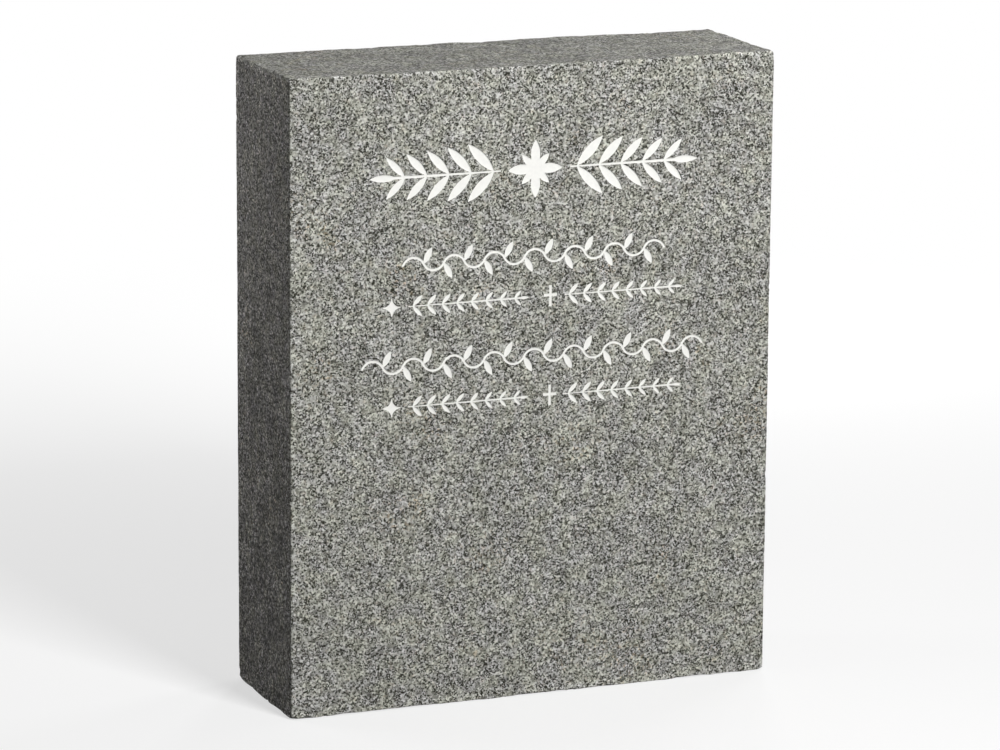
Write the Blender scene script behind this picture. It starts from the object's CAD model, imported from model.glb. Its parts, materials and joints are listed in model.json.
# %% [markdown]
# # An upright granite headstone
#
# The real object is a single block of grey granite, sawn to size and dressed fine, that
# stands on its underside. Shallow ornament is blasted into its face and filled with white
# stone paint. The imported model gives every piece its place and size. This notebook gives
# each of them the finish of the real thing: worn arrises, small spalls, a mineral grain
# and paint that has settled in its cuts.

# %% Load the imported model
import itertools
import json
import math

import bpy
import numpy as np
from mathutils import Matrix, Vector
from mathutils.geometry import delaunay_2d_cdt


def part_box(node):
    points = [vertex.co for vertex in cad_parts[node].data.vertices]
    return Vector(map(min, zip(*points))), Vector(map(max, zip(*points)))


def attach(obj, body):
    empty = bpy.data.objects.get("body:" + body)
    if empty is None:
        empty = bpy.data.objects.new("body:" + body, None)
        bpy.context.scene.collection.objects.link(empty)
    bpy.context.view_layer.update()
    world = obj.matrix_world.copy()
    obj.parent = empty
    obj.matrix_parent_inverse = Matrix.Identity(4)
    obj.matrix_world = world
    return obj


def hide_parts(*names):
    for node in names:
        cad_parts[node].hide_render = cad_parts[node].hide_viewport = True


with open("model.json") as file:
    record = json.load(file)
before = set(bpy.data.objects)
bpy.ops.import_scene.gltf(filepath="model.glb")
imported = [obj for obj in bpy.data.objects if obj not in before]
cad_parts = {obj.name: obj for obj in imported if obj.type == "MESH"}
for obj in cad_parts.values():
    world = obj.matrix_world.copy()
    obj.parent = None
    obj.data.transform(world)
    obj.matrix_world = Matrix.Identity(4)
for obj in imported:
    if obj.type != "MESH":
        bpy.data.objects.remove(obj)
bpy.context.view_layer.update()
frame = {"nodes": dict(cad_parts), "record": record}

MM = 0.001
scene = bpy.context.scene
PAINTED = [name for name in frame["nodes"] if name != "slab"]
block_low, block_high = (np.array(corner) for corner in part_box("slab"))
print("block, mm:", ((block_high - block_low) / MM).round(1), "painted pieces:", len(PAINTED))

# %% [markdown]
# ## The camera
#
# A long lens some way off keeps the uprights nearly parallel, as in a catalogue picture.
# The view is described in plain terms: which way it looks, how far down, how far off, and
# the point of the face in the middle of the picture.

# %% Stand the camera to the front left, a little above the stone
LOOK_RIGHT = math.radians(22.14)
LOOK_DOWN = math.radians(12.81)
LEAN = math.radians(0.39)
DISTANCE = 5.73
LENS = 178.3
AIM = Vector((-0.0426, block_low[1], 0.3892))

ahead = Vector((
    math.sin(LOOK_RIGHT) * math.cos(LOOK_DOWN),
    math.cos(LOOK_RIGHT) * math.cos(LOOK_DOWN),
    -math.sin(LOOK_DOWN),
))
level = Vector((math.cos(LOOK_RIGHT), -math.sin(LOOK_RIGHT), 0))
upward = level.cross(ahead)
right = level * math.cos(LEAN) + upward * math.sin(LEAN)
above = upward * math.cos(LEAN) - level * math.sin(LEAN)

camera = bpy.data.objects.new("camera", bpy.data.cameras.new("camera"))
scene.collection.objects.link(camera)
camera.matrix_world = Matrix.Translation(AIM - ahead * DISTANCE) @ Matrix(
    (right, above, -ahead)).transposed().to_4x4()
camera.data.sensor_width = 36
camera.data.lens = LENS
camera.data.clip_start = 0.1
camera.data.clip_end = 100
scene.camera = camera
print("camera at", [round(v, 3) for v in camera.location])

# %% [markdown]
# ## The light
#
# Four soft white lamps. The key lamp stands in front and to the right, above head height,
# near enough for its light to fade down the face. The left side turns away from it and
# gets only a weak lamp from behind, so it stays dark, and another weak lamp lifts the
# top. A low lamp behind the stone lights its back and its right side. The room itself is
# almost dark to the stone, and white where the camera or a reflection meets it.

# %% Helpers for building node trees
def add(tree, kind, inputs=None, **settings):
    """A new node of the given kind, with its settings and input values or links filled in."""
    made = tree.nodes.new("ShaderNode" + kind)
    for name, value in settings.items():
        setattr(made, name, value)
    for name, value in (inputs or {}).items():
        if isinstance(value, bpy.types.NodeSocket):
            tree.links.new(value, made.inputs[name])
        else:
            made.inputs[name].default_value = value
    return made


def calc(tree, operation, *values):
    """Result of a Math node for one, two or three values or links."""
    return add(tree, "Math", dict(enumerate(values)), operation=operation).outputs[0]


def seen_directly(tree):
    """1 for camera, mirror and glass rays, 0 for the rays that carry light to the stone."""
    path = add(tree, "LightPath")
    direct = calc(tree, "MAXIMUM", path.outputs["Is Camera Ray"], path.outputs["Is Glossy Ray"])
    return calc(tree, "MAXIMUM", direct, path.outputs["Is Transmission Ray"])


# %% Hang the lamps and set the room
ROOM_LIGHT = 0.05
LAMPS = {           # where each lamp hangs, its size in metres and its power in watts
    "key_lamp": ((0.6, -3.0, 2.3), 1.0, 134.5),
    "side_lamp": ((-0.86, 0.62, 0.87), 0.5, 2.3),
    "top_lamp": ((0.9, 0.5, 1.4), 0.4, 3.6),
    "back_lamp": ((1.3, 2.3, 0.45), 0.5, 34),
}


def hang_lamp(name, spot, aim, size, power):
    """A square soft lamp at a spot, turned to face the aim."""
    lamp = bpy.data.objects.new(name, bpy.data.lights.new(name, "AREA"))
    scene.collection.objects.link(lamp)
    lamp.data.size = size
    lamp.data.energy = power
    lamp.location = spot
    lamp.visible_camera = False
    lamp.rotation_euler = (aim - spot).to_track_quat("-Z", "Y").to_euler()


middle = Vector(((block_low + block_high) / 2).tolist())
for name, (spot, size, power) in LAMPS.items():
    hang_lamp(name, Vector(spot), middle, size, power)
print("lamps:", list(LAMPS), "aimed at", [round(v, 3) for v in middle])

world = bpy.data.worlds.new("room")
world.use_nodes = True
scene.world = world
room = world.node_tree
room.nodes.clear()
dim = add(room, "Background", {"Color": (1, 1, 1, 1), "Strength": ROOM_LIGHT})
bright = add(room, "Background", {"Color": (1, 1, 1, 1), "Strength": 1.0})
choice = add(room, "MixShader", {0: seen_directly(room), 1: dim.outputs[0],
                                 2: bright.outputs[0]})
add(room, "OutputWorld", {"Surface": choice.outputs[0]})
scene.view_settings.view_transform = "Standard"

# %% [markdown]
# ## The floor
#
# A wide plain disc carries the stone's shadow. Near the stone it is partly matt, so the
# shadow shows, and further out it turns into even white that runs into the room. To the
# rays that light the stone it is a dull dark floor, so little light comes up from it.

# %% Make a wide disc
FLOOR_RADIUS = 30.0


def disc(radius, rings, spokes):
    """Flat disc: rings of points whose radius grows with the square of the ring's number,
    joined by quads, with a fan of triangles round the middle point."""
    ring, spoke = np.meshgrid(np.arange(1, rings + 1), np.arange(spokes), indexing="ij")
    reach = radius * (ring / rings) ** 2
    turn = 2 * np.pi * spoke / spokes
    points = np.stack([reach * np.cos(turn), reach * np.sin(turn), 0 * turn], -1)
    points = np.concatenate([np.zeros((1, 3)), points.reshape(-1, 3)])
    start = 1 + np.arange(rings)[:, None] * spokes
    here, there = np.arange(spokes), (np.arange(spokes) + 1) % spokes
    fan = np.stack([0 * here, 1 + here, 1 + there], 1)
    quads = np.stack([start[:-1] + here, start[1:] + here,
                      start[1:] + there, start[:-1] + there], -1).reshape(-1, 4)
    return points, fan.tolist() + quads.tolist()


def mesh_object(name, points, faces):
    """A new object in the scene whose mesh has these points and faces."""
    mesh = bpy.data.meshes.new(name)
    mesh.from_pydata(points, [], faces)
    mesh.update()
    made = bpy.data.objects.new(name, mesh)
    scene.collection.objects.link(made)
    return made


floor = mesh_object("floor", *disc(FLOOR_RADIUS, 24, 64))
print("floor:", len(floor.data.vertices), "points")

# %% Paint the floor
def new_material(name):
    """An empty material, its node tree and the place of the point that is coloured."""
    matter = bpy.data.materials.new(name)
    matter.use_nodes = True
    matter.node_tree.nodes.clear()
    return matter, matter.node_tree, add(matter.node_tree, "TexCoord").outputs["Object"]


def pale_floor():
    """Part matt and part plain white, more of it white the further out."""
    matter, tree, place = new_material("pale_floor")
    away = add(tree, "VectorMath", {0: place}, operation="LENGTH").outputs["Value"]
    fade = add(tree, "MapRange", {"Value": away, "From Min": 0.5, "From Max": 2.6,
                                  "To Min": 0.6, "To Max": 1.0},
               interpolation_type="SMOOTHSTEP").outputs[0]
    matt = add(tree, "BsdfDiffuse", {"Color": (0.97, 0.97, 0.97, 1)})
    white = add(tree, "Emission", {"Color": (1, 1, 1, 1), "Strength": 1.0})
    shown = add(tree, "MixShader", {0: fade, 1: matt.outputs[0], 2: white.outputs[0]})
    dull = add(tree, "BsdfDiffuse", {"Color": (0.10, 0.10, 0.10, 1)})
    mixed = add(tree, "MixShader", {0: seen_directly(tree), 1: dull.outputs[0],
                                    2: shown.outputs[0]})
    add(tree, "OutputMaterial", {"Surface": mixed.outputs[0]})
    return matter


floor.data.materials.append(pale_floor())

# %% [markdown]
# ## Smooth random numbers
#
# Stone is never quite even. One function gives every uneven shape here: smooth heights
# that depend only on the place, so two pieces that meet agree along their joint.

# %% Noise on a lattice
LATTICE = 32                # values along each edge of the lattice, which then repeats


def soft_noise(points, wavelength, seed):
    """Smooth heights from -1 to 1. Random values sit on a cubic lattice, one every
    wavelength, and each point blends its eight nearest with smoothstep weights."""
    table = np.random.default_rng(seed).uniform(-1, 1, (LATTICE,) * 3)
    spot = points / wavelength
    cell = np.floor(spot).astype(int)
    part = spot - cell
    part = part * part * (3 - 2 * part)
    height = np.zeros(len(points))
    for corner in itertools.product((0, 1), repeat=3):
        weight = np.prod(np.where(corner, part, 1 - part), axis=1)
        height += weight * table[tuple(((cell + corner) % LATTICE).T)]
    return height


along_face = np.array([[x * 10 * MM, 0, 0] for x in range(5)])
print("noise every 10 mm:", soft_noise(along_face, 45 * MM, 2).round(2))

# %% [markdown]
# ## The block
#
# A modeller could bevel a cube, but every arris would be the same. Here each side is a
# flat net of points in nested rings: close together at the arrises, where the wear is,
# and wide apart in the middle. The six nets share their outermost points, so together
# they close the block.

# %% Net of one side
FINE = 1.2 * MM             # step of the net along an arris
COARSE = 8 * MM             # step in the middle of a side
ARRIS_STEP = 0.5 * MM       # step between the first rings, across an arris
ARRIS_RINGS = 4
GROWTH = 1.35               # each further step against the one before


def ring_insets(half):
    """Distances of the rings from the edge: small steps that grow by a third each time,
    up to the coarse step, as far as the middle of the side."""
    steps = [ARRIS_STEP] * ARRIS_RINGS
    while steps[-1] < COARSE:
        steps.append(min(steps[-1] * GROWTH, COARSE))
    steps += [COARSE] * int(half / COARSE)
    insets = np.concatenate([[0], np.cumsum(steps)])
    return insets[insets < half - 0.4 * COARSE]


def ring(width, height, inset, pitch):
    """Points round a rectangle of the given size, moved in by the inset: each of its four
    sides is divided evenly, and ends where the next one starts."""
    left, low, right, high = inset, inset, width - inset, height - inset
    across = np.linspace(left, right, max(2, round((right - left) / pitch) + 1))
    along = np.linspace(low, high, max(2, round((high - low) / pitch) + 1))
    return np.concatenate([
        np.stack([across[:-1], np.full(len(across) - 1, low)], 1),
        np.stack([np.full(len(along) - 1, right), along[:-1]], 1),
        np.stack([across[:0:-1], np.full(len(across) - 1, high)], 1),
        np.stack([np.full(len(along) - 1, left), along[:0:-1]], 1),
    ])


def side_net(width, height):
    """Triangle net of a rectangle from (0, 0): nested rings, joined by Delaunay's rule."""
    insets = ring_insets(min(width, height) / 2)
    pitches = np.maximum(FINE, np.diff(insets, append=insets[-1] + COARSE))
    points = np.concatenate([ring(width, height, inset, pitch)
                             for inset, pitch in zip(insets, pitches)])
    net = delaunay_2d_cdt([Vector(p) for p in points.tolist()], [], [], 0, 1e-9)
    return np.array([tuple(v) for v in net[0]]), np.array(net[2])


print("rings, mm from the arris:", (ring_insets(block_high[1]) / MM).round(1))

# %% Fold six nets into a block
SAME_PLACE = 1e-6           # points nearer than this are one point


def block_net(low, high):
    """Closed net of the block. Each side's net is laid on both of its faces, turned so
    that it looks outwards, and points that fall together are made one."""
    points, faces, count = [], [], 0
    size = high - low
    for axis in range(3):
        a, b = (axis + 1) % 3, (axis + 2) % 3
        flat, net = side_net(size[a], size[b])
        for end in (low, high):
            spots = np.empty((len(flat), 3))
            spots[:, axis] = end[axis]
            spots[:, a] = low[a] + flat[:, 0]
            spots[:, b] = low[b] + flat[:, 1]
            points.append(spots)
            faces.append((net if end is high else net[:, ::-1]) + count)
            count += len(flat)
    points = np.concatenate(points)
    first, same = np.unique((points / SAME_PLACE).round().astype(int), axis=0,
                            return_index=True, return_inverse=True)[1:]
    return points[first], same.ravel()[np.concatenate(faces)]


points, faces = block_net(block_low, block_high)
print("block net:", len(points), "points,", len(faces), "triangles")

# %% [markdown]
# ## Worn arrises and uneven sides
#
# Handling rubs each arris of a stone round by a millimetre or so. A Bevel modifier would
# do that evenly, but the wear drifts along a real arris and is heavier at the corners. So
# each point is moved to the surface of a rounded box whose radius depends on the place.
# The sides then wander a little: the dressed face by a tenth of a millimetre, the flanks
# by less than one, and the back and the top, which are only sawn, by up to three.

# %% Round the arrises and let the sides wander
ARRIS_RADIUS = 1.3 * MM
CROWN_RADIUS = (1.0 * MM, 2.0 * MM)    # added along the top, at the face and at the back
FOOT_RADIUS = 0.2 * MM       # added along the bottom
CORNER_RADIUS = 0.7 * MM     # added at the eight corners
UNEVEN = {          # how far each side wanders, in millimetres, low side then high side
    0: (0.6, 0.7),
    1: (0.12, 2.4),
    2: (0.0, 3.2),
}
SET_IN = 0.22       # share of it by which a side as a whole lies inside its plane


def ease_arrises(points, low, high):
    """Rounds the arrises. A smaller block, one radius in on every side, is the core, and
    each point ends one radius from it. The radius drifts along an arris and grows near
    the top, the bottom and the corners. Returns the points and the way each one faces."""
    worn = 1 + 0.45 * soft_noise(points, 9 * MM, 1) + 0.4 * soft_noise(points, 45 * MM, 2)
    crown = np.exp(-((high[2] - points[:, 2]) / (6 * MM)) ** 2)
    crown *= np.interp(points[:, 1], (low[1], high[1]), CROWN_RADIUS)
    foot = np.exp(-((points[:, 2] - low[2]) / (6 * MM)) ** 2)
    off_corner = np.linalg.norm(np.minimum(points - low, high - points), axis=1)
    corner = np.exp(-(off_corner / (9 * MM)) ** 2)
    radius = worn * (ARRIS_RADIUS + crown + FOOT_RADIUS * foot + CORNER_RADIUS * corner)
    core = np.clip(points, low + radius[:, None], high - radius[:, None])
    out = points - core
    facing = out / np.linalg.norm(out, axis=1)[:, None]
    return core + facing * radius[:, None], facing


def wander(points, facing):
    """Moves each point in or out, in long and short waves whose height is its side's
    unevenness. The side as a whole lies a little inside its plane."""
    depth = np.zeros(len(points))
    for axis, (low_side, high_side) in UNEVEN.items():
        side = np.where(facing[:, axis] < 0, low_side, high_side)
        depth += facing[:, axis] ** 2 * side * MM
    waves = (0.9 * soft_noise(points, 120 * MM, 63) + 0.55 * soft_noise(points, 36 * MM, 64)
             + 0.25 * soft_noise(points, 11 * MM, 65))
    return points - facing * (depth * (SET_IN + waves / 2))[:, None]


points, facing = ease_arrises(points, block_low, block_high)
points = wander(points, facing)
print("sides lie at, mm:", (points.min(0) / MM).round(2), (points.max(0) / MM).round(2))

# %% [markdown]
# ## A broken foot and small shells
#
# Granite is brittle, and the foot of a stone is left as it was split from its bed. Its
# arrises don't run straight but rise and fall by a millimetre or two, and its corners are
# knocked off. Everywhere else a knock takes off a small shell and leaves a hollow like
# the inside of a ball. Cutting hundreds of balls out with Booleans would be slow, so a
# point that falls inside such a ball is pushed out to its surface.

# %% Break the foot and knock shells off the arrises
FOOT_LIFT = 2.2 * MM         # how far the broken line along the bottom rises
TOE_LIFT = 2.4 * MM          # added at its four corners
# Rows of shells along an arris: length of one station, share that has a shell, seed
SHELL_ROWS = ((34 * MM, 0.5, 11), (13 * MM, 0.55, 12), (6 * MM, 0.6, 13))


def break_foot(points, low, high):
    """Lifts the arrises along the bottom by two waves of noise, and the corners a little
    more. The lift is times a bell curve of the height above the bottom and another of the
    distance from the nearest side, so it fades within a centimetre."""
    wave = 0.6 * soft_noise(points, 60 * MM, 96) + 0.4 * soft_noise(points, 18 * MM, 97)
    off_sides = np.minimum(points - low, high - points)[:, :2]
    toe = np.exp(-(np.linalg.norm(off_sides, axis=1) / (4.5 * MM)) ** 2)
    near = np.exp(-((points[:, 2] - low[2]) / (5 * MM)) ** 2
                  - (off_sides.min(axis=1) / (8 * MM)) ** 2)
    points[:, 2] += (FOOT_LIFT * np.maximum(0, 0.5 + wave) + TOE_LIFT * toe) * near
    return points


def knock_shells(points, low, high, along, ends, station, share, seed):
    """Hollows along one arris. It is divided into stations, and some of them hold a ball
    whose middle lies just outside the stone. A point inside its station's ball moves
    straight out from the middle to the ball's surface."""
    random = np.random.default_rng(seed)
    count = int((high[along] - low[along]) / station)
    reach = station * random.uniform(0.16, 0.45, count)
    reach *= random.random(count) < share
    centre = low[along] + (np.arange(count) + 0.5) * (high[along] - low[along]) / count
    centre += random.uniform(-1, 1, count) * (station / 2 - reach) * 0.8
    lean = random.uniform(0.15, 0.85, count) * math.pi / 2
    off = reach * random.uniform(0.5, 0.97, count)
    a, b = (along + 1) % 3, (along + 2) % 3
    out_a, out_b = (1 if ends[0] else -1), (1 if ends[1] else -1)
    edge_a, edge_b = (high if ends[0] else low)[a], (high if ends[1] else low)[b]
    slot = ((points[:, along] - low[along]) / (high[along] - low[along]) * count)
    slot = np.clip(slot.astype(int), 0, count - 1)
    middle = np.empty_like(points)
    middle[:, along] = centre[slot]
    middle[:, a] = edge_a + out_a * (off * np.cos(lean))[slot]
    middle[:, b] = edge_b + out_b * (off * np.sin(lean))[slot]
    away = points - middle
    gap = np.linalg.norm(away, axis=1)
    ball = reach[slot]
    inside = gap < ball
    points[inside] = (middle + away * (ball / np.maximum(gap, 1e-9))[:, None])[inside]
    return int(inside.sum())


points = break_foot(points, block_low, block_high)
moved = 0
for along, ends in itertools.product(range(3), itertools.product((0, 1), repeat=2)):
    for station, share, seed in SHELL_ROWS:
        if along == 2:                     # the uprights are kept crisp
            share *= 0.3
            station *= 0.6
        elif ends[0 if along == 1 else 1] == 0:   # small knocks, but many, at the bottom
            share *= 1.6
            station *= 0.5
        arris_seed = seed + 100 * along + 10 * ends[0] + 20 * ends[1]
        moved += knock_shells(points, block_low, block_high, along, ends,
                              station, share, arris_seed)
points[:, 2] = np.maximum(points[:, 2], 0)
block = mesh_object("granite_block", points, faces.tolist())
print("points in shells:", moved)

# %% [markdown]
# ## Outlines of the ornament
#
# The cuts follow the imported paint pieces. Their fronts are flat, so an outline is every
# edge that belongs to one front triangle only. Blasting plucks whole grains from the rim
# of a cut, so the outline wavers by a fraction of a millimetre. Cut and paint are both
# made from the same wavering outline, and so still fit.

# %% Trace one painted piece
RIM_STEP = 0.9 * MM
RIM_WAVER = 0.14 * MM


def rim_of(node):
    """Outline of a node's front as points in X and Z and the number of each one's
    successor. Long edges are divided into short ones, and every point is moved a little
    by noise that depends on its place."""
    mesh = frame["nodes"][node].data
    mesh.calc_loop_triangles()
    corners = np.empty(len(mesh.vertices) * 3, np.float32)
    mesh.vertices.foreach_get("co", corners)
    corners = corners.reshape(-1, 3).astype(float)
    triangles = np.empty(len(mesh.loop_triangles) * 3, np.int32)
    mesh.loop_triangles.foreach_get("vertices", triangles)
    triangles = triangles.reshape(-1, 3)
    front = corners[:, 1].min()
    triangles = triangles[np.all(corners[triangles][:, :, 1] < front + 0.1 * MM, axis=1)]
    flat, same = np.unique((corners[:, [0, 2]] / SAME_PLACE).round().astype(int), axis=0,
                           return_inverse=True)
    triangles = same.ravel()[triangles]
    start = triangles.ravel()
    end = np.roll(triangles, -1, axis=1).ravel()
    once = ~np.isin(start * len(flat) + end, end * len(flat) + start)
    start, end = start[once], end[once]
    flat = flat * SAME_PLACE
    length = np.linalg.norm(flat[end] - flat[start], axis=1)
    parts = np.maximum(1, np.ceil(length / RIM_STEP)).astype(int)
    first = np.cumsum(parts) - parts
    edge = np.repeat(np.arange(len(start)), parts)
    share = (np.arange(parts.sum()) - first[edge]) / parts[edge]
    rim = flat[start[edge]] + (flat[end] - flat[start])[edge] * share[:, None]
    starts_at = np.empty(len(flat), int)
    starts_at[start] = first
    follow = np.arange(len(rim)) + 1
    follow[first + parts - 1] = starts_at[end]
    place = np.stack([rim[:, 0], 0 * rim[:, 0], rim[:, 1]], 1)
    waver = [0.6 * soft_noise(place, 2.4 * MM, seed) + 0.4 * soft_noise(place, 1.1 * MM, seed + 1)
             for seed in (31, 33)]
    return rim + RIM_WAVER * np.stack(waver, 1), follow


rims = {name: rim_of(name) for name in PAINTED}
print("rim points:", {name: len(rim) for name, (rim, follow) in rims.items()})

# %% [markdown]
# ## Cutting the ornament
#
# Each outline is drawn out into a closed prism that runs from the bottom of the cut to
# just in front of the face. A Boolean modifier takes the prisms, and two round plugs for
# the dowel holes in the underside, out of the block. Before that a Decimate modifier
# thins the net where it is flat, so the triangles go where there is shape.

# %% Closed shapes to cut with
CLEAR = 3 * MM              # how far a cutter stands out in front of what it cuts


def fill(flat, follow):
    """Triangles that fill an outline by Delaunay's rule, for its own points, which come
    first, and any loose points inside it."""
    edges = np.stack([np.arange(len(follow)), follow], 1)
    found = delaunay_2d_cdt([Vector(p) for p in flat.tolist()], edges.tolist(), [], 1, 1e-9)
    first_source = np.array([sources[0] for sources in found[3]])
    return first_source[np.array(found[2])]


def wall(follow):
    """Two triangles for each step round an outline whose points are repeated: the front
    ring comes first, and the back ring right after it."""
    here, count = np.arange(len(follow)), len(follow)
    return np.concatenate([np.stack([here, here + count, follow + count], 1),
                           np.stack([here, follow + count, follow], 1)])


def prism(rim, follow, front, back):
    """Closed prism between two depths, with the outline filled at both ends."""
    points = np.concatenate([np.stack([rim[:, 0], np.full(len(rim), depth), rim[:, 1]], 1)
                             for depth in (front, back)])
    cap = fill(rim, follow)
    return points, np.concatenate([cap, cap[:, ::-1] + len(rim), wall(follow)])


def plug(x, y, radius, low, high, steps=48):
    """Closed upright cylinder between two heights, each end a fan round its middle."""
    turn = 2 * np.pi * np.arange(steps) / steps
    ring = np.stack([x + radius * np.cos(turn), y + radius * np.sin(turn)], 1)
    points = np.concatenate([
        np.column_stack([ring, np.full(steps, high)]),
        np.column_stack([ring, np.full(steps, low)]),
        [[x, y, high], [x, y, low]]])
    here, there = np.arange(steps), (np.arange(steps) + 1) % steps
    return points, np.concatenate([
        np.stack([here, here + steps, there + steps], 1),
        np.stack([here, there + steps, there], 1),
        np.stack([np.full(steps, 2 * steps), here, there], 1),
        np.stack([np.full(steps, 2 * steps + 1), there + steps, here + steps], 1)])


print("a plug has", len(plug(0, 0, 1, 0, 1)[1]), "triangles")

# %% Place the cutters
def joined(solids):
    """One list of points and one of faces for several solids."""
    starts = np.cumsum([0] + [len(points) for points, faces in solids[:-1]])
    return (np.concatenate([points for points, faces in solids]),
            np.concatenate([faces + start for start, (points, faces) in zip(starts, solids)]))


cut_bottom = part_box("crest_rosette")[1][1]
cutters = [prism(*rim, block_low[1] - CLEAR, cut_bottom) for rim in rims.values()]
for mount in frame["record"]["mounts"]:
    if mount["kind"] == "bore":
        x, y, z = mount["pos_m"]
        radius, length = mount["dims"]["r_mm"] * MM, mount["dims"]["length_mm"] * MM
        cutters.append(plug(x, y, radius, block_low[2] - CLEAR, z + length / 2))
print("cutters:", len(cutters))

# %% Thin the net and take the cutters out of it
BLOCK_TRIANGLES = 105000    # left by the thinning, before the cuts add their own


def count_triangles(piece):
    """Number of triangles in a piece's mesh."""
    piece.data.calc_loop_triangles()
    return len(piece.data.loop_triangles)


def finish_mesh(piece, sharp=math.radians(32)):
    """Applies a piece's modifiers and smooths its shading except across sharp edges."""
    shape = bpy.data.meshes.new_from_object(
        piece.evaluated_get(bpy.context.evaluated_depsgraph_get()))
    piece.modifiers.clear()
    piece.data = shape
    shape.shade_smooth()
    shape.set_sharp_from_angle(angle=sharp)
    weigh = piece.modifiers.new("weigh_by_area", "WEIGHTED_NORMAL")
    weigh.keep_sharp = True


points, faces = joined(cutters)
cutter = mesh_object("cutter", points, faces.tolist())
thin = block.modifiers.new("thin", "DECIMATE")
thin.ratio = min(1, BLOCK_TRIANGLES / len(block.data.polygons))
cut = block.modifiers.new("cut", "BOOLEAN")
cut.object = cutter
cut.operation = "DIFFERENCE"
cut.solver = "MANIFOLD"
finish_mesh(block)
bpy.data.objects.remove(cutter)
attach(block, "root")
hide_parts("slab")
print("granite block:", count_triangles(block), "triangles")

# %% [markdown]
# ## A map for other programs
#
# The granite is a solid pattern that needs no map. Other programs can't work it out, so
# the exporter paints it on a picture, through the map with the name OFBake. Blender's own
# unwrapping would give the hidden underside as much of the picture as the face. Here the
# six sides are laid out like the sides of a box cut from card, each at its own scale.

# %% Lay the sides of the block out on one sheet
SHEET = 1024                # length of the sheet's edge, in dots
# Each side's dots per millimetre, and the spot on the sheet where its low corner lies.
# They come in the order low X, high X, low Y, high Y, low Z, high Z.
LAYOUT = {
    "left": (0.74, (612, 462)),
    "right": (0.74, (758, 462)),
    "face": (1.0, (4, 4)),
    "back": (0.6, (612, 4)),
    "underside": (0.35, (4, 955)),
    "top": (1.0, (4, 762)),
}
BORE_SPOT = (230, 955)      # the first dowel hole's unrolled wall, with the next beside it
BORE_DOTS = 0.3
BORE_STRIDE = 40


def read_array(items, name, kind, width):
    """One value or vector of each item, as an array."""
    found = np.empty(len(items) * width, kind)
    items.foreach_get(name, found)
    return found.reshape(-1, width)


def lay_out(mesh, cuts_end):
    """Adds the map. A face goes to the side its normal looks at most, and the faces of the
    carving all go to the face of the stone. Each corner then lies on the sheet at its place
    on that side, times the side's dots. The wall of a dowel hole is unrolled: the angle
    round its axis times its radius, by the height."""
    normal = read_array(mesh.polygons, "normal", np.float32, 3)
    centre = read_array(mesh.polygons, "center", np.float32, 3)
    owner = np.repeat(np.arange(len(normal)),
                      read_array(mesh.polygons, "loop_total", np.int32, 1).ravel())
    vertex = read_array(mesh.loops, "vertex_index", np.int32, 1).ravel()
    place = read_array(mesh.vertices, "co", np.float32, 3)[vertex]
    axis = np.abs(normal).argmax(1)
    side = 2 * axis + (normal[np.arange(len(axis)), axis] > 0)
    inset = np.minimum(centre - block_low, block_high - centre)[:, [0, 2]].min(1)
    side[(centre[:, 1] < cuts_end + 0.1 * MM) & (inset > 20 * MM)] = 2
    spot = np.zeros((len(place), 2))
    for number, (dots, corner) in enumerate(LAYOUT.values()):
        flat = [[1, 2], [0, 2], [0, 1]][number // 2]
        mine = side[owner] == number
        spot[mine] = corner + (place[mine][:, flat] - block_low[flat]) / MM * dots
    bores = [mount for mount in frame["record"]["mounts"] if mount["kind"] == "bore"]
    for number, mount in enumerate(bores):
        middle, radius = np.array(mount["pos_m"][:2]), mount["dims"]["r_mm"] * MM
        out = centre[:, :2] - middle
        wall_face = (np.linalg.norm(out, axis=1) < radius + 0.5 * MM) & (axis < 2)
        mine = wall_face[owner]
        turn = np.arctan2(out[:, 1], out[:, 0])[owner[mine]]
        off = place[mine][:, :2] - middle
        turn += (np.arctan2(off[:, 1], off[:, 0]) - turn + np.pi) % (2 * np.pi) - np.pi
        unrolled = np.stack([(turn + np.pi) * radius, place[mine][:, 2]], 1) / MM * BORE_DOTS
        spot[mine] = np.array(BORE_SPOT) + (number * BORE_STRIDE, 0) + unrolled
    mesh.uv_layers.new(name="OFBake").uv.foreach_set(
        "vector", (spot / SHEET).astype(np.float32).ravel())
    return np.bincount(side, minlength=6)


print("faces on each side:", dict(zip(LAYOUT, lay_out(block.data, cut_bottom).tolist())))

# %% [markdown]
# ## The paint
#
# The mason floods each cut with thick white paint. It clings to the wall of the cut and
# sinks a little in the middle as it dries. So each painted piece is its outline filled
# with a net of points, whose depth grows with their distance from the rim.

# %% Fill the cuts with paint
PAINT_STEP = 1.5 * MM
SAG = 0.22 * MM             # how far the middle of a wide stretch sinks
SAG_REACH = 1.6 * MM        # how far from the rim the sinking takes to build up
RIPPLE = 0.07 * MM


def rim_distance(spots, rim):
    """Distance from each spot to the nearest point of the rim, a batch at a time."""
    return np.concatenate([
        np.linalg.norm(batch[:, None] - rim[None], axis=2).min(1)
        for batch in np.array_split(spots, max(1, len(spots) // 200))])


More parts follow.
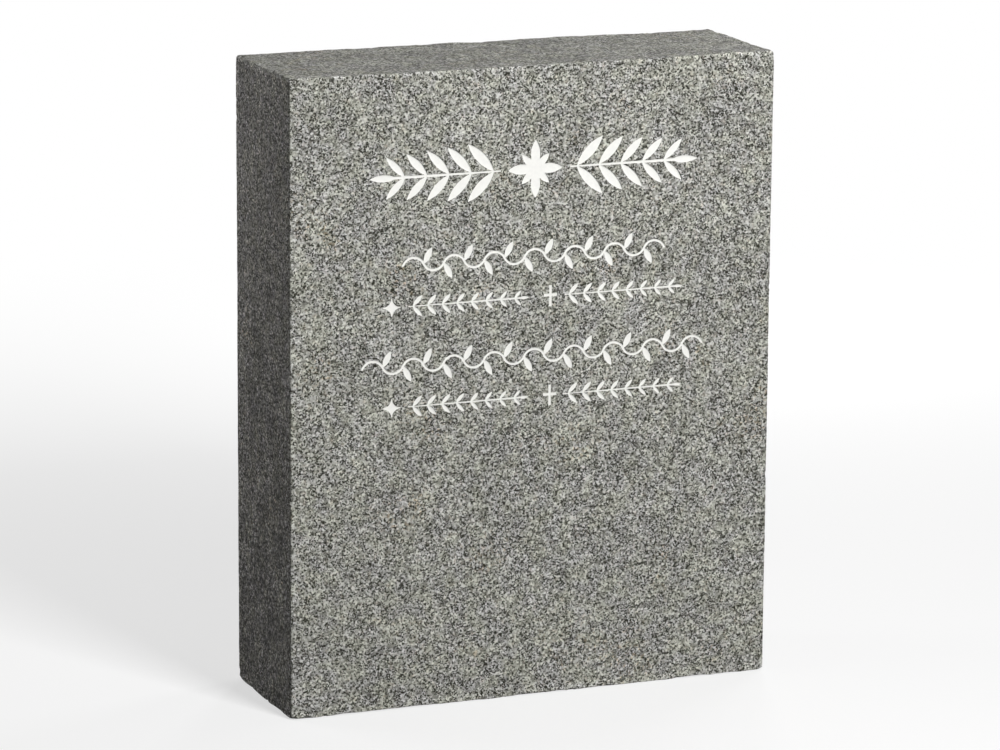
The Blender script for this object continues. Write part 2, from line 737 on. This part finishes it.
def paint_surface(rim, follow, front, back, seed):
    """Closed skin of the paint in one cut. Its front is a net over the rim and a loose
    grid of points inside it. The depth is the front's plus a sag that levels off away
    from the rim, plus a fine ripple."""
    random = np.random.default_rng(seed)
    low, high = rim.min(0), rim.max(0)
    grid = np.stack(np.meshgrid(*(np.arange(a, b, PAINT_STEP) for a, b in zip(low, high)),
                                indexing="ij"), -1).reshape(-1, 2)
    grid += random.uniform(-0.25, 0.25, grid.shape) * PAINT_STEP
    grid = grid[rim_distance(grid, rim) > 0.5 * PAINT_STEP]
    flat = np.concatenate([rim, grid])
    cap = fill(flat, follow)
    used, cap = np.unique(np.concatenate([np.arange(len(rim)), cap.ravel()]),
                          return_inverse=True)
    cap = cap[len(rim):].reshape(-1, 3)
    flat = flat[used]
    place = np.stack([flat[:, 0], 0 * flat[:, 0], flat[:, 1]], 1)
    sag = SAG * (1 - np.exp(-rim_distance(flat, rim) / SAG_REACH))
    depth = front + sag + RIPPLE * soft_noise(place, 6 * MM, 41)
    behind = len(flat)
    points = np.concatenate([np.stack([flat[:, 0], depth, flat[:, 1]], 1),
                             np.stack([rim[:, 0], np.full(len(rim), back), rim[:, 1]], 1)])
    here = np.arange(len(rim))
    faces = np.concatenate([cap, fill(rim, follow)[:, ::-1] + behind,
                            np.stack([here, here + behind, follow + behind], 1),
                            np.stack([here, follow + behind, follow], 1)])
    return points, faces


painted = []
for seed, (name, (rim, follow)) in enumerate(rims.items()):
    low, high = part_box(name)
    points, faces = paint_surface(rim, follow, low[1], high[1], seed)
    piece = mesh_object("paint_" + name, points, faces.tolist())
    finish_mesh(piece)
    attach(piece, "root")
    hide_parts(name)
    painted.append(piece)
print("paint:", sum(count_triangles(piece) for piece in painted), "triangles")

# %% [markdown]
# ## Patterns that run through the solid
#
# Both finishes are worked out from the place of each point in space. They run on round an
# arris and down into a cut, as mineral does in real stone. A flat picture wrapped round
# the block would show a seam at every arris. A few helpers keep the node trees short.

# %% Helpers for noise and colours
def noise(tree, place, scale, detail=2, roughness=0.5):
    """Soft noise from 0 to 1. The larger the scale, the finer it is."""
    return add(tree, "TexNoise", {"Vector": place, "Scale": scale, "Detail": detail,
                                  "Roughness": roughness}).outputs["Fac"]


def stretch(tree, value, low, high, to_low=0.0, to_high=1.0):
    """Straight-line map of a value from one range to another, held at its ends."""
    return add(tree, "MapRange", {"Value": value, "From Min": low, "From Max": high,
                                  "To Min": to_low, "To Max": to_high}).outputs[0]


def scaled(tree, colour, share):
    """A colour times a value."""
    return add(tree, "VectorMath", {0: colour, "Scale": share}, operation="SCALE").outputs[0]


def blend_colours(tree, share, first, second, way="MIX"):
    """Colour mix of two colours or colour links."""
    made = add(tree, "Mix", data_type="RGBA", blend_type=way)
    for number, value in ((0, share), (6, first), (7, second)):
        if isinstance(value, bpy.types.NodeSocket):
            tree.links.new(value, made.inputs[number])
        else:
            made.inputs[number].default_value = value
    return made.outputs[2]


print("from the top of the block to its foot, m:", block_high[2] - block_low[2])

# %% [markdown]
# ## Crystals
#
# Granite is a mosaic of crystals a few millimetres across: pale feldspar, greyer quartz
# and black mica. A Voronoi texture gives every crystal a random value of its own, and a
# ramp turns the value into a mineral. The mica is a finer mosaic on top. It gathers in
# loose clouds, so its share rises and falls with a slow noise. Fine noise bends the
# borders, because real crystals aren't bounded by straight lines.

# %% Lay the crystals
CRYSTALS = 470              # feldspar and quartz, cells per metre
FLAKES = 690                # mica, cells per metre
BEND = 1.6 * MM             # how far the borders are bent
MINERALS = (                # the value a mineral starts at, and its colour
    (0.00, (0.090, 0.090, 0.080, 1)),
    (0.10, (0.235, 0.235, 0.212, 1)),
    (0.40, (0.410, 0.410, 0.380, 1)),
    (0.72, (0.595, 0.595, 0.563, 1)),
)
MICA = (0.032, 0.032, 0.024, 1)


def random_cells(tree, place, scale):
    """Three random values for the cell that a place falls in."""
    cells = add(tree, "TexVoronoi", {"Vector": place, "Scale": scale})
    return add(tree, "SeparateColor", {"Color": cells.outputs["Color"]}).outputs


def crystals(tree, place):
    """Colour of the crystal at a place, its three random values, and the slow noise that
    gathers the mica."""
    wobble = add(tree, "TexNoise", {"Vector": place, "Scale": 520, "Detail": 2})
    bent = add(tree, "VectorMath", {0: wobble.outputs["Color"], 1: (BEND,) * 3, 2: place},
               operation="MULTIPLY_ADD").outputs[0]
    kind = random_cells(tree, bent, CRYSTALS)
    ramp = add(tree, "ValToRGB", {"Fac": kind[0]})
    ramp.color_ramp.interpolation = "CONSTANT"
    while len(ramp.color_ramp.elements) < len(MINERALS):
        ramp.color_ramp.elements.new(1)
    for stop, (start, mineral) in zip(ramp.color_ramp.elements, MINERALS):
        stop.position = start
        stop.color = mineral
    toned = scaled(tree, ramp.outputs["Color"], stretch(tree, kind[1], 0, 1, 0.85, 1.15))
    cloud = noise(tree, place, 60)
    is_mica = calc(tree, "LESS_THAN", random_cells(tree, bent, FLAKES)[0],
                   stretch(tree, cloud, 0.3, 0.7, 0.13, 0.325))
    return blend_colours(tree, is_mica, toned, MICA), kind, cloud


print("minerals start at", [start for start, mineral in MINERALS])

# %% [markdown]
# ## Dressed face and sawn sides
#
# The face is dressed fine and keeps the stone's own colours, paler where its top arris is
# bruised and where dust has settled at its foot. The other sides are only sawn. There the
# pores hold dirt, so the colours are deeper and blotched, and more so towards the damp
# ground. The top and the rim of the flanks are scuffed pale. One value, 0 on the face and
# 1 behind it, tells the two finishes apart, with a ragged border just behind the arris.

# %% Tell the sawn sides from the face
DUST = (0.29, 0.286, 0.270, 1)
DEEPEN = 1.7                # power that deepens the colours of a sawn side
DEEP_SCALE = (1.88, 1.82, 1.96)


def is_sawn(tree, place, behind):
    """0 on the face and 1 on the other sides. The border is a few millimetres behind the
    face, and noise moves it by up to five."""
    ragged = stretch(tree, noise(tree, place, 220), 0.35, 0.65)
    moved = calc(tree, "MULTIPLY_ADD", ragged, -5 * MM, behind)
    return stretch(tree, moved, block_low[1] + 0.5 * MM, block_low[1] + 3.5 * MM)


def saw_marks(tree, place, height):
    """Light and dark blotches as a value round 1: coarse noise times slow noise. They grow
    stronger and a little darker towards the ground."""
    coarse = noise(tree, place, 170, 4, 0.65)
    slow = noise(tree, place, 24, 3)
    marks = calc(tree, "MULTIPLY", stretch(tree, coarse, 0.3, 0.7, 0.56, 1.44),
                 stretch(tree, slow, 0.3, 0.7, 0.83, 1.17))
    damp = stretch(tree, height, 0.15, 0.5, 2.8, 1.0)
    marks = calc(tree, "MULTIPLY_ADD", calc(tree, "SUBTRACT", marks, 1.0), damp, 1.0)
    soiled = stretch(tree, height, 0.02, 0.2, 0.91, 1.0)
    return calc(tree, "MULTIPLY", calc(tree, "MAXIMUM", marks, 0.3), soiled)


def sawn_finish(tree, place, beside, height, down, colour):
    """Colour of a sawn side: dusty on the top, deep below it, and times the blotches. The
    rim of a flank is paler."""
    deep = add(tree, "Gamma", {"Color": colour, "Gamma": DEEPEN}).outputs[0]
    deep = add(tree, "VectorMath", {0: deep, 1: DEEP_SCALE}, operation="MULTIPLY").outputs[0]
    deep = scaled(tree, deep, stretch(tree, down, 5 * MM, 7.5 * MM, 1.4, 1.0))
    dusty = blend_colours(tree, 0.22, colour, DUST)
    tone = blend_colours(tree, stretch(tree, down, 2 * MM, 6 * MM), dusty, deep)
    flank = stretch(tree, beside, block_high[0] - 3.5 * MM, block_high[0] - 1 * MM)
    scuffed = stretch(tree, down, 5.5 * MM, 7.5 * MM, 0.18, 0.0)
    marks = saw_marks(tree, place, height)
    return scaled(tree, tone, calc(tree, "MULTIPLY_ADD", flank, scuffed, marks))


def face_finish(tree, height, down, colour):
    """Colour of the face: brighter along the bruised top arris and at the dusty foot."""
    bruised = stretch(tree, down, 1.6 * MM, 4.4 * MM, 1.27, 1.0)
    dusted = stretch(tree, height, 3 * MM, 16 * MM, 1.15, 1.0)
    return scaled(tree, colour, calc(tree, "MULTIPLY", bruised, dusted))


print("the border lies at Y, mm:", round((block_low[1] + 0.5 * MM) / MM, 1), "and behind")

# %% [markdown]
# ## Tint and grit
#
# A grey stone is never one grey. Patches lean a little to blue or to green, and specks of
# rust warm it where iron has bled from the mica, with a few crowds of darker freckles.
# Whole areas are a touch lighter or darker. The surface is gritty: each crystal stands at
# its own height, by far less than the net of the mesh could show, so a Bump node carries
# it. It is stronger on the sawn sides, which also swell slightly.

# %% Tint the stone and roughen it
COOL = (1.0, 0.994, 1.030, 1)
WARM = (0.993, 1.0, 0.935, 1)
RUST = (1.0, 0.94, 0.90, 1)
FRECKLE = (1.0, 0.87, 0.74, 1)


def tinted(tree, place, cloud, colour):
    """Colour times a tint between warm and cool, and times rust where a noise is high.
    Darker freckles of rust lie only where a slow noise is high as well."""
    hue = calc(tree, "MULTIPLY_ADD", cloud, 0.6, noise(tree, place, 62, 3))
    tint = blend_colours(tree, stretch(tree, hue, 0.62, 0.98), WARM, COOL)
    colour = blend_colours(tree, 1.0, colour, tint, "MULTIPLY")
    rusty = stretch(tree, noise(tree, place, 150), 0.58, 0.72)
    colour = blend_colours(tree, rusty, colour, RUST, "MULTIPLY")
    freckled = calc(tree, "MULTIPLY", stretch(tree, noise(tree, place, 11), 0.56, 0.66),
                    stretch(tree, noise(tree, place, 230), 0.57, 0.66))
    return blend_colours(tree, freckled, colour, FRECKLE, "MULTIPLY")


def clouded(tree, place, colour):
    """Colour times a very slow noise, because the minerals are never mixed quite evenly."""
    return scaled(tree, colour, stretch(tree, noise(tree, place, 14), 0.3, 0.7, 0.93, 1.07))


def gritty(tree, place, crystal, sawn):
    """Bump whose height is each crystal's random value plus fine noise, and on the sawn
    sides a broad swell as well."""
    fine = calc(tree, "ADD", crystal, noise(tree, place, 1400))
    fine = calc(tree, "MULTIPLY", fine, stretch(tree, sawn, 0, 1, 0.12, 0.34))
    swell = calc(tree, "MULTIPLY", noise(tree, place, 95, 5, 0.6), sawn)
    height = calc(tree, "MULTIPLY_ADD", swell, 1.6, fine)
    return add(tree, "Bump", {"Strength": 1.0, "Distance": 1 * MM,
                              "Height": height}).outputs[0]


print("tints:", {"cool": COOL[:3], "warm": WARM[:3], "rust": RUST[:3],
                 "freckle": FRECKLE[:3]})

# %% [markdown]
# ## Granite
#
# The finishes come together in one material for the whole block. Dressed granite is dull,
# each crystal a little more or less than its neighbours, so the roughness follows a
# crystal's random value and the reflection is kept weak.

# %% Make the granite
def grey_granite():
    """Grey fine-grained granite, dressed smooth but not polished."""
    matter, tree, place = new_material("grey_granite")
    across, behind, height = add(tree, "SeparateXYZ", {0: place}).outputs
    beside = calc(tree, "ABSOLUTE", across)
    down = calc(tree, "SUBTRACT", block_high[2], height)
    colour, crystal, cloud = crystals(tree, place)
    sawn = is_sawn(tree, place, behind)
    colour = blend_colours(tree, sawn, face_finish(tree, height, down, colour),
                           sawn_finish(tree, place, beside, height, down, colour))
    finish = add(tree, "BsdfPrincipled", {
        "Base Color": clouded(tree, place, tinted(tree, place, cloud, colour)),
        "Roughness": stretch(tree, crystal[1], 0, 1, 0.55, 0.85),
        "Specular IOR Level": 0.09,
        "Normal": gritty(tree, place, crystal[2], sawn)})
    add(tree, "OutputMaterial", {"Surface": finish.outputs[0]})
    return matter


block.data.materials.clear()
block.data.materials.append(grey_granite())
print("granite nodes:", len(block.data.materials[0].node_tree.nodes))

# %% [markdown]
# ## Stone paint
#
# The paint is thick, white and matt, a little yellowed, with a breath of dust that a soft
# noise lays over it. Its surface is finely pebbled from the brush, which a shallow Bump
# shows. The same material serves all the painted pieces.

# %% Make the paint
PAINT_CLEAN = (0.93, 0.925, 0.885, 1)
PAINT_DUSTY = (0.89, 0.885, 0.85, 1)


def white_stone_paint():
    """Thick matt white paint with a breath of dust in it."""
    matter, tree, place = new_material("white_stone_paint")
    dust = stretch(tree, noise(tree, place, 300, 4), 0.35, 0.65)
    relief = add(tree, "Bump", {"Strength": 1.0, "Distance": 0.08 * MM,
                                "Height": noise(tree, place, 900)})
    finish = add(tree, "BsdfPrincipled", {
        "Base Color": blend_colours(tree, dust, PAINT_CLEAN, PAINT_DUSTY),
        "Roughness": 0.55, "Specular IOR Level": 0.25, "Normal": relief.outputs[0]})
    add(tree, "OutputMaterial", {"Surface": finish.outputs[0]})
    return matter


paint = white_stone_paint()
for piece in painted:
    piece.data.materials.clear()
    piece.data.materials.append(paint)
print("painted:", len(painted), "pieces")
